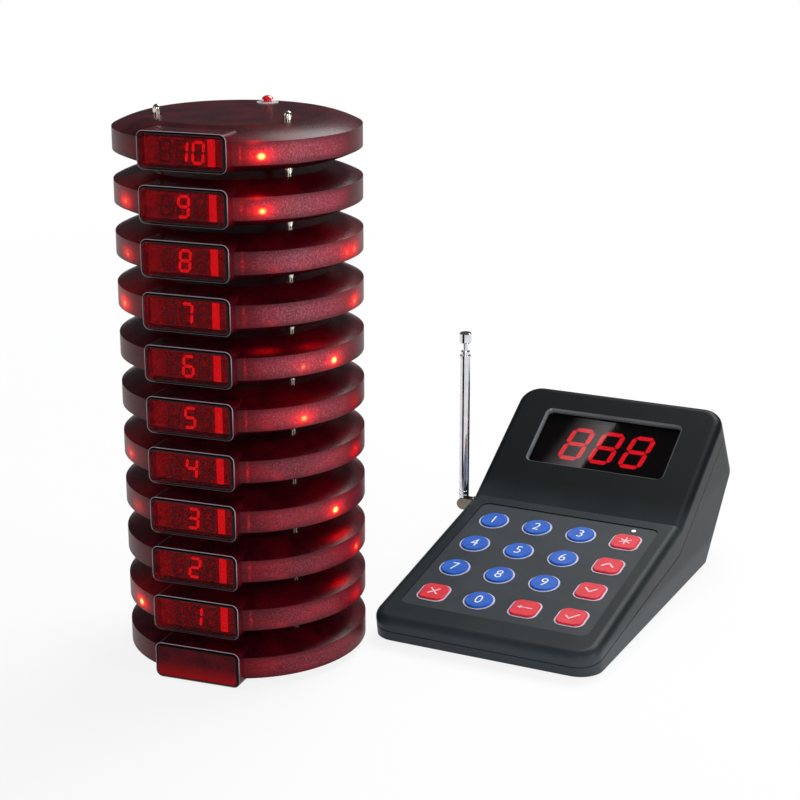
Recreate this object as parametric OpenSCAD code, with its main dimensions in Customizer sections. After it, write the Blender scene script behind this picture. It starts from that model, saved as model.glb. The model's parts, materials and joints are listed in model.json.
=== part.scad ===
// Guest pager system: ten round pagers stacked on a charging base, and a keypad transmitter beside them.
// Millimetres, +Z up. The origin is the centre of the charging base's underside, and the fronts face -Y.

/* [Pagers] */
// Outside diameter of a pager and of the charging base
pager_d = 105; // [92:0.5:120]
// Height of a pager's case
pager_h = 18.6; // [17:0.1:22]
// Height of the upright band round the rim
band_h = 9.3; // [7:0.1:11]
// Diameter of the flats on the top and on the underside
flat_d = 77; // [68:0.5:84]
// How far the sloping faces bulge past a straight cone
bulge = 0.6; // [0.3:0.1:1.2]
// Wall of the pager's shells
pager_wall = 1.6; // [1.2:0.1:2.2]
// Gap between two pagers in the stack
stack_gap = 3.4; // [2.6:0.1:6]

/* [Pager window] */
// Width of the window box on the rim
window_w = 39.5; // [30:0.5:46]
// Height of the window box
window_h = 15.8; // [12:0.1:17]
// Corner radius of the window box
window_r = 3; // [2:0.1:5]
// Bevel round the window's front
window_bevel = 0.8; // [0.4:0.1:1.4]
// How far the window stands in front of the rim
window_out = 1.5; // [0.8:0.1:4]

/* [Contacts and button] */
// Diameter of the two charging posts
post_d = 3.5; // [2.5:0.1:5]
// Distance between the two posts
post_span = 59.2; // [44:0.2:66]
// Distance of the posts in front of the middle
post_front = 15.4; // [8:0.2:24]
// Diameter of the push button's head
button_d = 5; // [4:0.1:7]
// Distance of the button behind the middle
button_back = 31; // [24:0.5:33]

/* [Transmitter] */
// Width of the transmitter
tx_w = 108; // [100:1:126]
// Height of its front wall above the underside
tx_front_h = 11; // [10:0.1:14]
// Slope of the keypad
slope = 10.5; // [6:0.5:14]
// Distance from the front wall to the bend, measured level
bend_y = 116; // [112:1:130]
// Slope of the head
head_slope = 32; // [26:0.5:40]
// Length of the head up its slope
head_l = 77; // [72:1:88]
// Thickness of the head at its top end
head_t = 35; // [30:0.5:40]
// Distance from the front to where the underside lifts off the table
lift_y = 158; // [148:1:164]
// Corner radius of the housing
tx_r = 11; // [8:0.5:14]
// Wall of the transmitter's shells
tx_wall = 2.4; // [2:0.1:3]

/* [Keypad] */
// Diameter of a round key with its rim
key_d = 14.6; // [12:0.1:17]
// Side of a square key with its rim
square_key = 14.2; // [12:0.1:17]
// Key spacing across
key_x = 22.4; // [19:0.1:24]
// Key spacing up the slope
key_s = 23; // [19:0.1:24]
// Width of the keypad panel
panel_w = 91; // [84:0.5:96]
// Length of the keypad panel
panel_l = 97; // [88:0.5:99]

/* [Display] */
// Width of the display opening
display_w = 70.8; // [60:0.5:80]
// Height of the display opening
display_h = 34.4; // [26:0.2:38]

/* [Antenna] */
// Diameter of the outer tube
mast_d = 5; // [4.5:0.1:6]
// Height of the closed antenna above its elbow pin
mast_l = 88; // [70:1:110]
// Diameter of the cap
cap_d = 6; // [5:0.1:8]

/* [Placement] */
// Distance of the transmitter's left wall to the right of the rim (its round corner keeps clear)
tx_gap = -1.5; // [-1.5:0.5:120]
// Transmitter's front edge behind the middle of the stack
tx_back = 9; // [9:1:60]
// Turn of the transmitter
tx_turn = -6; // [-20:1:0]

/* [Hidden] */
$fn = 64;
rim_fn = 128;     // facets round the pagers and the base
board_fn = 96;    // facets round their boards
slice_fn = 180;   // facets of the large circles that bulge their sides

// Clearances.
run_gap = 0.05;   // radial, of parts that turn or slide in one another
slip_gap = 0.1;   // radial, of buttons, keys and mating shells
eps = 0.01;       // overlap that joins two solids
far = 300;        // larger than any part

// Pager: heights measured from its underside.
rim_r = pager_d / 2;
flat_r = flat_d / 2;
band_low = (pager_h - band_h) / 2;
band_top = band_low + band_h;
room_r = rim_r - pager_wall;
window_y = -(rim_r + window_out);
window_raise = 0.4;
window_mid = pager_h / 2 + window_raise;
window_root = -sqrt(pow(flat_r, 2) - pow(window_w / 2, 2));
groove_h = 0.3;
groove_deep = 0.5;
lip_t = 1.2;
lip_up = 1.6;
stack_pitch = pager_h + stack_gap;
base_cut = 1.4;                 // the base is a pager cut off flat at the table
base_floor = 1.8;

// Pager works.
board_clear = 6.9;              // between the board's edge and the wall
board_r = room_r - board_clear;
board_t = 1.6;
board_z = 4.8;
board_top = board_z + board_t;
pad_d = 7;
pad_t = 0.8;
cup_d = 4.5;
cup_deep = 0.65;
post_h = stack_gap + cup_deep - run_gap;
boss_d = 7;
boss_in = 5.5;                  // of the screws from the edge of the flat
boss_r = flat_r - boss_in;
boss_turns = [50, 130, 222, 318];
screw_d = 4.4;
screw_deep = 2;
led_ring_r = board_r - 2.5;
led_box = [3, 1.6, 2.6];
led_first = -55;                // the rim lights start beside the window and leave it out
led_step = 18;
led_count = 17;
digit_box = [window_w - 5.5, 10, window_h - 4.8];
digit_y = window_y + 2.4;
cell_box = [34, 22, 5];
cell_y = -2;
motor_d = 6;
motor_l = 11;
motor_y = -22;
button_h = stack_gap - 0.2;
button_travel = 1;
button_reach = 2.8;
neck_d = 3.4;
head_h = 1.7;
flange_d = 6.4;
flange_h = 1.2;
flange_z = pager_h - pager_wall - slip_gap - flange_h;
foot_z = flange_z - button_reach;
collar_d = 9.4;
collar_h = 0.4;
switch_w = 6;
switch_h = foot_z - button_travel - slip_gap - board_top;

// Transmitter: its own frame has the origin under the middle of the front wall.
foot_h = 1;
foot_sink = 0.8;
foot_d = 12;
front_z = foot_h + tx_front_h;
bend_z = front_z + bend_y * tan(slope);
slab_l = bend_y / cos(slope);
head_top_y = bend_y + head_l * cos(head_slope);
head_top_z = bend_z + head_l * sin(head_slope);
head_low_y = head_top_y + head_t * sin(head_slope);
head_low_z = head_top_z - head_t * cos(head_slope);
soft_r = 4;                     // rounding of the housing's top edges
overrun = 60;                   // how far the keypad and head blocks run on into each other
slab_deep = 62;
head_deep = 80;
part_share = 0.42;              // the parting line's share of the front wall's height
part_z = foot_h + tx_front_h * part_share;
part_slope = slope * 2 / 3;
part_bend_z = part_z + bend_y * tan(part_slope);
tongue_h = 1.4;
tongue_t = 0.9;

// Keypad: n is the height above the slab's top plane.
panel_mid = slab_l / 2 + 4.5;
panel_r = 4;
panel_t = 1.2;
panel_n = -1.7;
ledge = 2;
key_mid_s = panel_mid - 1.3;
key_r = 4.4;
key_rim = 0.8;
key_rim_n = -0.25;
key_top_n = 0.6;
key_edge = 0.4;
key_flange = 0.9;
key_flange_t = 1;
key_flange_n = -1.9;
key_stem_d = 5;
key_stem_n = -5;
key_travel = 0.8;
pcb_n = -8.4;
pcb_t = 1.6;
pcb_w = panel_w - 3;
pcb_l = panel_l - 4;
pcb_gap = 1;
tact_box = [6, 6, 0.9];
led_x = key_x * 1.5;
led_s = panel_mid + panel_l / 2 - 3.6;
led_d = 2.2;
pillar_d = 9;
pillar_x = pcb_w / 2 - 8;
pillar_y = [24, bend_y - 16];
tx_screw_d = 5.6;
tx_screw_deep = 5;
foot_x = tx_w / 2 - 14;
foot_y = [16, lift_y - 16];

// Display: s is measured up the head from the bend, n above the head's top plane.
display_drop = 15.5;            // from the head's top edge to the opening
display_s = head_l - display_drop - display_h / 2;
display_r = 2.6;
display_bevel = 0.9;
lens_lap = 1.7;
lens_t = 1.6;
digits_w = display_w - 20.8;
digits_l = display_h - 8.4;
digits_t = 7.8;
display_board_w = display_w + 17.2;
display_board_l = display_h + 5.6;
display_board_n = tx_wall + lens_t + slip_gap + digits_t;
display_pillar_d = 6;
display_pillar_x = display_w / 2 + 5.6;
display_pillar_s = display_h / 2 - 3.2;

// Power sockets.
jack_box = [9, 12, 7.2];
jack_bore = 5.6;
jack_deep = 9;
jack_hole = 8;
jack_least = 3.5;                // of a socket from the wall, more where the roof slopes too low
jack_clear = 0.3;
base_board_z = base_cut + base_floor + 1.8;
base_jack_z = base_board_z + board_t + jack_box[2] / 2;
roof_low = band_top - pager_wall / 2;
roof_rise = pager_h - pager_wall - roof_low;
roof_run = room_r - flat_r + pager_wall / 2;
roof_in = (base_jack_z + jack_box[2] / 2 + jack_clear - roof_low) * roof_run / roof_rise;
jack_gap = max(jack_least, roof_in);
back_jack_depth = head_t - 10;
back_jack_y = head_top_y + back_jack_depth * sin(head_slope) - (tx_wall + jack_box[1] / 2) * cos(head_slope);
back_jack_z = head_top_z - back_jack_depth * cos(head_slope) - (tx_wall + jack_box[1] / 2) * sin(head_slope);

// Antenna: the stud turns about X in the left wall, the elbow about Y.
stud_y = bend_y + 3;
stud_z = (part_bend_z + bend_z) / 2 + 0.3;
stud_d = 5;
stud_flange_d = 8;
stud_nut_d = 6.6;
stud_flange_t = 1;
elbow_out = 6.5;
elbow_x = -tx_w / 2 - elbow_out;
cheek_t = 1.3;
tongue_w = 2.2;
cheek_r = 2.9;
pin_d = 1.8;
mast_from = 3.2;
plug_top = 8;
plug_rings = [4.6, 6.6];
ring_h = 0.5;
ring_deep = 0.3;
tube_wall = 0.3;
step = 1;                       // drop in diameter from one section to the next
slide_l = 3;
slide_rise = 0.5;               // each section ends this much over the one outside it
mouth = 1.5;
bead_h = 1;
bead_out = 0.25;
cap_l = 5.4;
rings_l = 6.1;                  // of the thinner sections in view under the cap
outer_top = mast_l - cap_l - rings_l;
middle_top = outer_top + rings_l / 3;
middle_d = mast_d - step;
cap_edge = 0.6;
tip_d = middle_d - 1.6 * step;

// Placement of the transmitter.
tx_right = rim_r + tx_w / 2 + tx_gap;

// ---- Shared shapes ----

module round_rect(w, l, r) {
  square([w - 2 * r, l], center = true);
  square([w, l - 2 * r], center = true);
  for (x = [-1, 1], y = [-1, 1])
    translate([x * (w / 2 - r), y * (l / 2 - r)])
      circle(r);
}

// A rounded rectangle whose front edges are bevelled all round, front face at z = h.
module bevelled_block(w, l, r, h, bevel) {
  linear_extrude(h - bevel)
    round_rect(w, l, r);
  translate([0, 0, h - bevel]) {
    for (x = [-1, 1], y = [-1, 1])
      translate([x * (w / 2 - r), y * (l / 2 - r), 0])
        cylinder(h = bevel, r1 = r, r2 = r - bevel);
    rotate([90, 0, 0])
      translate([0, 0, -(l / 2 - r)])
        linear_extrude(l - 2 * r)
          polygon([[-w / 2, 0], [w / 2, 0], [w / 2 - bevel, bevel], [-w / 2 + bevel, bevel]]);
    rotate([90, 0, 90])
      translate([0, 0, -(w / 2 - r)])
        linear_extrude(w - 2 * r)
          polygon([[-l / 2, 0], [l / 2, 0], [l / 2 - bevel, bevel], [-l / 2 + bevel, bevel]]);
  }
}

// A plate with round corners and a top edge rounded by edge. Its front edge is at y = 0, its top at z = 0.
module soft_plate(w, l, t, r, edge) {
  translate([0, l / 2, -t])
    if (edge == 0) {
      linear_extrude(t)
        round_rect(w, l, r);
    } else {
      linear_extrude(t - edge)
        round_rect(w, l, r);
      linear_extrude(t)
        round_rect(w - 2 * edge, l - 2 * edge, r - edge);
      for (x = [-1, 1], y = [-1, 1])
        translate([x * (w / 2 - r), y * (l / 2 - r), 0])
          rotate_extrude()
            union() {
              square([r - edge, t]);
              square([r, t - edge]);
              translate([r - edge, t - edge])
                intersection() {
                  circle(edge);
                  square([edge, edge]);
                }
            }
      for (y = [-1, 1])
        translate([0, y * (l / 2 - edge), t - edge])
          rotate([0, 90, 0])
            cylinder(h = w - 2 * r, r = edge, center = true);
      for (x = [-1, 1])
        translate([x * (w / 2 - edge), 0, t - edge])
          rotate([90, 0, 0])
            cylinder(h = l - 2 * r, r = edge, center = true);
    }
}

// ---- Pager ----

// The bulge between two profile points a and b, as a slice of a large circle.
module bulge_slice(a, b) {
  chord = norm(b - a);
  arc_r = pow(chord, 2) / (8 * bulge) + bulge / 2;
  out = [(b - a)[1], -(b - a)[0]] / chord;
  mid = (a + b) / 2;
  intersection() {
    translate(mid - out * (arc_r - bulge))
      circle(arc_r, $fn = slice_fn);
    polygon([a, b, b + 2 * bulge * out, a + 2 * bulge * out]);
  }
}

module pager_form() {
  rotate_extrude($fn = rim_fn)
    union() {
      polygon([[0, 0], [flat_r, 0], [rim_r, band_low], [rim_r, band_top], [flat_r, pager_h], [0, pager_h]]);
      bulge_slice([flat_r, 0], [rim_r, band_low]);
      bulge_slice([rim_r, band_top], [flat_r, pager_h]);
    }
}

// The hollow of a pager whose floor is at the height given.
module pager_room(floor_z) {
  rotate_extrude($fn = rim_fn)
    polygon([
      [0, floor_z], [flat_r - pager_wall, floor_z], [room_r, max(band_low, floor_z + 1)],
      [room_r, band_top - pager_wall / 2], [flat_r - pager_wall / 2, pager_h - pager_wall],
      [0, pager_h - pager_wall]
    ]);
}

module slice_between(z1, z2) {
  intersection() {
    children();
    translate([0, 0, (z1 + z2) / 2])
      cube([far, far, z2 - z1], center = true);
  }
}

module window_box(grow) {
  translate([0, window_root, window_mid])
    rotate([90, 0, 0])
      bevelled_block(
        window_w + 2 * grow, window_h + 2 * grow, window_r + grow,
        window_root - window_y + grow, window_bevel);
}

module window_hollow() {
  translate([0, window_root + eps, window_mid])
    rotate([90, 0, 0])
      linear_extrude(window_root - window_y - pager_wall)
        round_rect(window_w - 2 * pager_wall, window_h - 2 * pager_wall, window_r - pager_wall / 2);
}

module at_posts() {
  for (x = [-1, 1])
    translate([x * post_span / 2, -post_front, 0])
      children();
}

module at_button() {
  translate([0, button_back, 0])
    children();
}

// The screw bosses that carry the board.
module at_bosses() {
  for (turn = boss_turns)
    rotate([0, 0, turn])
      translate([boss_r, 0, 0])
        children();
}

// A cover hollowed over the given floor, before the holes for the button.
module plain_cover(floor_z) {
  difference() {
    union() {
      slice_between(band_low, pager_h + eps)
        pager_form();
      window_box(0);
    }
    pager_room(floor_z);
    window_hollow();
    at_posts()
      cylinder(h = far, r = post_d / 2 + run_gap);
  }
}

module pager_cover() {
  color([0.32, 0.03, 0.06])
    difference() {
      union() {
        plain_cover(pager_wall);
        at_button()
          translate([0, 0, pager_h - pager_wall])
            cylinder(h = pager_wall + collar_h, d = collar_d);
      }
      at_button()
        cylinder(h = far, r = neck_d / 2 + slip_gap);
    }
}

// The lower shell between its underside and the parting line, with the tongue that the cover fits over.
module lower_form(low_z, floor_z) {
  difference() {
    union() {
      difference() {
        union() {
          slice_between(low_z, band_low - groove_h)
            pager_form();
          slice_between(band_low - groove_h - eps, band_low)
            cylinder(h = far, r = rim_r - groove_deep, $fn = rim_fn);
        }
        pager_room(floor_z);
      }
      translate([0, 0, band_low - groove_h])
        difference() {
          cylinder(h = groove_h + lip_up, r = room_r - slip_gap, $fn = rim_fn);
          translate([0, 0, -eps])
            cylinder(h = far, r = room_r - slip_gap - lip_t, $fn = rim_fn);
        }
    }
    window_box(slip_gap);
    translate([-(window_w / 2 + slip_gap), -far, band_low - groove_h])
      cube([window_w + 2 * slip_gap, far, far]);
  }
}

module pager_lower_shell() {
  difference() {
    union() {
      lower_form(0, pager_wall);
      at_bosses()
        translate([0, 0, pager_wall - eps])
          cylinder(h = board_z - pager_wall - run_gap + eps, d = boss_d);
    }
    at_posts()
      translate([0, 0, -eps])
        cylinder(h = far, d = cup_d);
    at_bosses()
      translate([0, 0, -eps])
        cylinder(h = screw_deep + eps, d = screw_d);
  }
}

// Board with its display, rim lights and switch, all soldered together.
module pager_board() {
  difference() {
    union() {
      translate([0, 0, board_z])
        cylinder(h = board_t, r = board_r, $fn = board_fn);
      translate([-digit_box[0] / 2, digit_y, board_top - eps])
        cube([digit_box[0], digit_box[1], digit_box[2] / 2 + window_mid - board_top]);
      translate([-digit_box[0] / 2, digit_y, window_mid - digit_box[2] / 2])
        cube([digit_box[0], digit_box[1] / 3, digit_box[2]]);
      for (i = [0:led_count - 1])
        rotate([0, 0, led_first + i * led_step])
          translate([led_ring_r - led_box[0] / 2, -led_box[1] / 2, board_top - eps])
            cube([led_box[0], led_box[1], led_box[2]]);
      at_button()
        translate([0, 0, board_top + switch_h / 2 - eps])
          cube([switch_w, switch_w, switch_h], center = true);
    }
    at_posts()
      cylinder(h = far, r = post_d / 2 + run_gap);
  }
}

// A charging post, domed on top, that runs right through a pager to a contact pad underneath.
module charging_post(from_z) {
  translate([0, 0, from_z])
    cylinder(h = pager_h + post_h - post_d / 2 - from_z, d = post_d);
  translate([0, 0, pager_h + post_h - post_d / 2])
    sphere(d = post_d);
}

module pager_contacts() {
  at_posts() {
    charging_post(cup_deep);
    translate([0, 0, cup_deep])
      cylinder(h = pager_wall - cup_deep + eps, r = cup_d / 2 - run_gap);
    translate([0, 0, pager_wall + run_gap])
      cylinder(h = pad_t, d = pad_d);
  }
}

module pager_lower() {
  color([0.28, 0.03, 0.05])
    pager_lower_shell();
  color([0.05, 0.3, 0.14])
    pager_board();
  color([0.75, 0.72, 0.66])
    pager_contacts();
  color([0.6, 0.62, 0.66])
    translate([0, cell_y, board_top + slip_gap + cell_box[2] / 2])
      cube(cell_box, center = true);
  color([0.7, 0.7, 0.7])
    translate([-motor_l / 2, motor_y, board_top + slip_gap + motor_d / 2])
      rotate([0, 90, 0])
        cylinder(h = motor_l, d = motor_d);
}

module pager_button() {
  head_z = pager_h + button_h - head_h;
  color([0.8, 0.05, 0.06])
    at_button() {
      translate([0, 0, head_z])
        cylinder(h = head_h - button_d / 4, d = button_d);
      translate([0, 0, pager_h + button_h - button_d / 4])
        intersection() {
          translate([0, 0, -button_d * 3 / 8])
            sphere(d = button_d * 5 / 4);
          cylinder(h = button_d, d = button_d);
        }
      translate([0, 0, foot_z])
        cylinder(h = head_z - foot_z + eps, d = neck_d);
      translate([0, 0, flange_z])
        cylinder(h = flange_h, d = flange_d);
    }
}

module at_level(level) {
  translate([0, 0, level * stack_pitch - base_cut])
    children();
}

// ---- Charging base ----

module at_back_socket(z) {
  translate([0, room_r - jack_box[1] / 2 - jack_gap, z])
    children();
}

module base_cover() {
  color([0.32, 0.03, 0.06])
    at_level(0) {
      difference() {
        plain_cover(base_cut + base_floor);
        at_back_socket(base_jack_z)
          rotate([-90, 0, 0])
            cylinder(h = far, d = jack_hole);
      }
      at_button()
        translate([0, 0, pager_h - eps])
          cylinder(h = stack_gap - run_gap + eps, d = button_d);
    }
}

module base_tub() {
  color([0.28, 0.03, 0.05])
    at_level(0) {
      difference() {
        union() {
          lower_form(base_cut, base_cut + base_floor);
          at_bosses()
            translate([0, 0, base_cut + base_floor - eps])
              cylinder(h = base_board_z - base_cut - base_floor - run_gap + eps, d = boss_d);
        }
        at_bosses()
          translate([0, 0, base_cut - eps])
            cylinder(h = screw_deep + eps, d = screw_d);
      }
    }
}

module jack(depth) {
  difference() {
    cube(jack_box, center = true);
    translate([0, jack_box[1] / 2 - depth, 0])
      rotate([-90, 0, 0])
        cylinder(h = depth + eps, d = jack_bore);
  }
}

module base_charging_board() {
  color([0.05, 0.3, 0.14])
    at_level(0) {
      union() {
        difference() {
          translate([0, 0, base_board_z])
            cylinder(h = board_t, r = board_r, $fn = board_fn);
          at_posts()
            cylinder(h = far, r = post_d / 2 + run_gap);
        }
        at_back_socket(base_jack_z - eps)
          jack(jack_deep);
      }
    }
  color([0.75, 0.72, 0.66])
    at_level(0)
      at_posts() {
        charging_post(base_board_z);
        translate([0, 0, base_board_z + board_t + run_gap])
          cylinder(h = pad_t, d = pad_d);
      }
}

// ---- Transmitter housing ----

module placed() {
  translate([tx_right, tx_back, 0])
    rotate([0, 0, tx_turn])
      children();
}

module on_slab() {
  translate([0, 0, front_z])
    rotate([slope, 0, 0])
      children();
}

module on_head() {
  translate([0, bend_y, bend_z])
    rotate([head_slope, 0, 0])
      children();
}

// A side view drawn as (y, z) and pulled across the whole width.
module across() {
  rotate([90, 0, 90])
    linear_extrude(far, center = true)
      children();
}

// The housing's outer form, drawn in by the inset given.
module housing_form(inset) {
  under_angle = atan2(head_low_z - foot_h, head_low_y - lift_y);
  under_lift = inset / cos(under_angle) - inset;
  edge = inset < tx_wall ? soft_r - inset : 0;
  intersection() {
    union() {
      on_slab()
        translate([0, inset, -inset])
          soft_plate(tx_w - 2 * inset, slab_l + overrun, slab_deep, tx_r - inset, edge);
      on_head()
        translate([0, inset - overrun, -inset])
          soft_plate(tx_w - 2 * inset, head_l + overrun - 2 * inset, head_deep, tx_r - inset, edge);
    }
    across()
      polygon([
        [-far, foot_h + inset], [lift_y - under_lift / tan(under_angle), foot_h + inset],
        [head_low_y + far * cos(under_angle), head_low_z + inset / cos(under_angle) + far * sin(under_angle)],
        [-far, far]
      ]);
  }
}

// Everything over the parting line, which is raised by the amount given.
module over_parting(raise) {
  across()
    polygon([
      [-far, part_z + raise - far * tan(part_slope)], [bend_y, part_bend_z + raise],
      [bend_y + far * cos(head_slope), part_bend_z + raise + far * sin(head_slope)], [-far, far]
    ]);
}

module under_parting(raise) {
  across()
    polygon([
      [-far, part_z + raise - far * tan(part_slope)], [bend_y, part_bend_z + raise],
      [bend_y + far * cos(head_slope), part_bend_z + raise + far * sin(head_slope)],
      [far + bend_y, -far], [-far, -far]
    ]);
}

module transmitter_upper_shell() {
  color([0.15, 0.16, 0.17])
    placed() {
      difference() {
        intersection() {
          housing_form(0);
          over_parting(0);
        }
        housing_form(tx_wall);
        intersection() {
          housing_form(tx_wall - tongue_t - slip_gap);
          under_parting(tongue_h + slip_gap);
        }
        on_slab() {
          translate([0, panel_mid, panel_n])
            linear_extrude(far)
              round_rect(panel_w, panel_l, panel_r);
          translate([0, panel_mid, -far / 2])
            linear_extrude(far)
              round_rect(panel_w - 2 * ledge, panel_l - 2 * ledge, panel_r - ledge / 2);
        }
        on_head()
          translate([0, display_s, 0]) {
            translate([0, 0, -tx_wall - eps])
              linear_extrude(far)
                round_rect(display_w, display_h, display_r);
            rotate([180, 0, 0])
              translate([0, 0, -eps])
                bevelled_block(
                  display_w + 2 * display_bevel, display_h + 2 * display_bevel,
                  display_r + display_bevel, display_bevel + 2 * eps, display_bevel + eps);
          }
        translate([-far, stud_y, stud_z])
          rotate([0, 90, 0])
            cylinder(h = far, r = stud_d / 2 + run_gap);
      }
      on_head()
        for (x = [-1, 1], s = [-1, 1])
          translate([x * display_pillar_x, display_s + s * display_pillar_s, -display_board_n])
            cylinder(h = display_board_n - tx_wall + eps, d = display_pillar_d);
    }
}

module transmitter_lower_shell() {
  color([0.12, 0.13, 0.14])
    placed()
      difference() {
        union() {
          intersection() {
            housing_form(0);
            under_parting(-groove_deep);
          }
          intersection() {
            housing_form(groove_deep);
            under_parting(0);
          }
          intersection() {
            housing_form(tx_wall - tongue_t);
            under_parting(tongue_h);
          }
          intersection() {
            housing_form(tx_wall / 2);
            at_pillars()
              cylinder(h = bend_z, d = pillar_d);
          }
        }
        difference() {
          housing_form(tx_wall);
          at_pillars()
            cylinder(h = far, d = pillar_d);
        }
        on_slab()
          translate([0, panel_mid, pcb_n + far / 2])
            cube([pcb_w + 2 * pcb_gap, pcb_l + 2 * pcb_gap, far], center = true);
        at_feet()
          translate([0, 0, -eps])
            cylinder(h = foot_h + foot_sink + eps, d = foot_d + 2 * slip_gap);
        at_pillars()
          cylinder(h = foot_h + tx_screw_deep, d = tx_screw_d);
        translate([0, back_jack_y, back_jack_z])
          rotate([head_slope, 0, 0])
            rotate([-90, 0, 0])
              cylinder(h = far, d = jack_hole);
      }
}

module at_pillars() {
  for (x = [-1, 1], y = pillar_y)
    translate([x * pillar_x, y, 0])
      children();
}

module at_feet() {
  for (x = [-1, 1], y = foot_y)
    translate([x * foot_x, y, 0])
      children();
}

module transmitter_feet() {
  color([0.05, 0.05, 0.05])
    placed()
      at_feet()
        cylinder(h = foot_h + foot_sink, d = foot_d);
}

module keypad_panel() {
  color([0.2, 0.21, 0.22])
    placed()
      on_slab()
        difference() {
          translate([0, panel_mid, panel_n])
            linear_extrude(panel_t)
              round_rect(panel_w - 2 * slip_gap, panel_l - 2 * slip_gap, panel_r - slip_gap);
          for (column = [0:3], row = [0:3])
            at_key(column, row)
              linear_extrude(far, center = true)
                key_outline(column, row, slip_gap);
          translate([led_x, led_s, -far / 2])
            cylinder(h = far, r = led_d / 2 + slip_gap);
        }
}

module display_window() {
  color([0.03, 0.02, 0.03])
    placed()
      on_head()
        translate([0, display_s, -tx_wall - lens_t])
          linear_extrude(lens_t)
            round_rect(display_w + 2 * lens_lap, display_h + 2 * lens_lap, display_r);
}

module display_module() {
  color([0.1, 0.02, 0.02])
    placed()
      on_head()
        translate([0, display_s, 0]) {
          translate([0, 0, -display_board_n + digits_t / 2 - eps])
            cube([digits_w, digits_l, digits_t], center = true);
          translate([0, 0, -display_board_n - board_t / 2])
            cube([display_board_w, display_board_l, board_t], center = true);
        }
}

// Main board with its switches and status light, and the power socket on the back wall.
module transmitter_circuit_board() {
  color([0.05, 0.3, 0.14])
    placed() {
      on_slab() {
        translate([0, panel_mid, pcb_n + pcb_t / 2])
          cube([pcb_w, pcb_l, pcb_t], center = true);
        for (column = [0:3], row = [0:3])
          at_key(column, row)
            translate([0, 0, pcb_n + pcb_t + tact_box[2] / 2 - eps])
              cube(tact_box, center = true);
        translate([led_x, led_s, pcb_n + pcb_t - eps])
          cylinder(h = panel_n + panel_t - pcb_n - pcb_t, d = led_d);
      }
    }
  color([0.06, 0.06, 0.06])
    placed()
      translate([0, back_jack_y, back_jack_z])
        rotate([head_slope, 0, 0])
          jack(jack_deep);
}

// ---- Keys ----

module at_key(column, row) {
  translate([(column - 1.5) * key_x, key_mid_s + (1.5 - row) * key_s, 0])
    children();
}

// The last column and the two outer places of the last row but one are square.
function is_square(column, row) = column == 3 || (row == 3 && column != 1);

module key_outline(column, row, grow) {
  if (is_square(column, row))
    round_rect(square_key + 2 * grow, square_key + 2 * grow, key_r + grow);
  else
    circle(key_d / 2 + grow);
}

module key(column, row) {
  color(is_square(column, row) ? [0.85, 0.16, 0.2] : [0.1, 0.3, 0.75])
    placed()
      on_slab()
        at_key(column, row) {
          translate([0, 0, key_flange_n - key_flange_t])
            linear_extrude(key_flange_t)
              key_outline(column, row, key_flange);
          translate([0, 0, key_flange_n - eps])
            linear_extrude(key_rim_n - key_flange_n + eps)
              key_outline(column, row, 0);
          translate([0, 0, key_rim_n - eps])
            linear_extrude(key_top_n - key_rim_n - key_edge + eps)
              key_outline(column, row, -key_rim);
          translate([0, 0, key_rim_n])
            if (is_square(column, row))
              bevelled_block(
                square_key - 2 * key_rim, square_key - 2 * key_rim, key_r - key_rim,
                key_top_n - key_rim_n, key_edge);
            else
              translate([0, 0, key_top_n - key_rim_n - key_edge])
                cylinder(h = key_edge, r1 = key_d / 2 - key_rim, r2 = key_d / 2 - key_rim - key_edge);
          translate([0, 0, key_stem_n])
            cylinder(h = key_flange_n - key_flange_t - key_stem_n + eps, d = key_stem_d);
        }
}

// ---- Antenna ----

module at_elbow() {
  placed()
    translate([elbow_x, stud_y, stud_z])
      children();
}

module antenna_swivel() {
  wall_x = -tx_w / 2 - elbow_x;
  color([0.7, 0.7, 0.72])
    at_elbow() {
      difference() {
        union() {
          translate([wall_x - slip_gap - stud_flange_t, 0, 0])
            rotate([0, 90, 0])
              cylinder(h = stud_flange_t, d = stud_flange_d);
          translate([wall_x - slip_gap - eps, 0, 0])
            rotate([0, 90, 0])
              cylinder(h = tx_wall + 2 * slip_gap + 2 * eps, d = stud_d);
          translate([wall_x + tx_wall + slip_gap, 0, 0])
            rotate([0, 90, 0])
              cylinder(h = stud_flange_t, d = stud_nut_d);
          rotate([90, 0, 0])
            cylinder(h = 2 * cheek_t + tongue_w, r = cheek_r, center = true);
          translate([(wall_x - stud_flange_t) / 2, 0, 0])
            cube([wall_x - stud_flange_t, 2 * cheek_t + tongue_w, 2 * cheek_r], center = true);
        }
        translate([-far / 2 + cheek_r + slip_gap, 0, 0])
          cube([far, tongue_w, far], center = true);
      }
      rotate([90, 0, 0])
        cylinder(h = 2 * cheek_t + tongue_w, d = pin_d, center = true);
    }
}

// A tube with a narrower mouth and a bead round its top end.
module mast_tube(d, from_z, to_z, wall, mouth_r) {
  difference() {
    union() {
      translate([0, 0, from_z])
        cylinder(h = to_z - from_z, d = d);
      translate([0, 0, to_z - bead_h])
        cylinder(h = bead_h, r = d / 2 + bead_out);
    }
    translate([0, 0, from_z - eps])
      cylinder(h = to_z - from_z - mouth + eps, r = d / 2 - wall);
    cylinder(h = far, r = mouth_r);
  }
}

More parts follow.
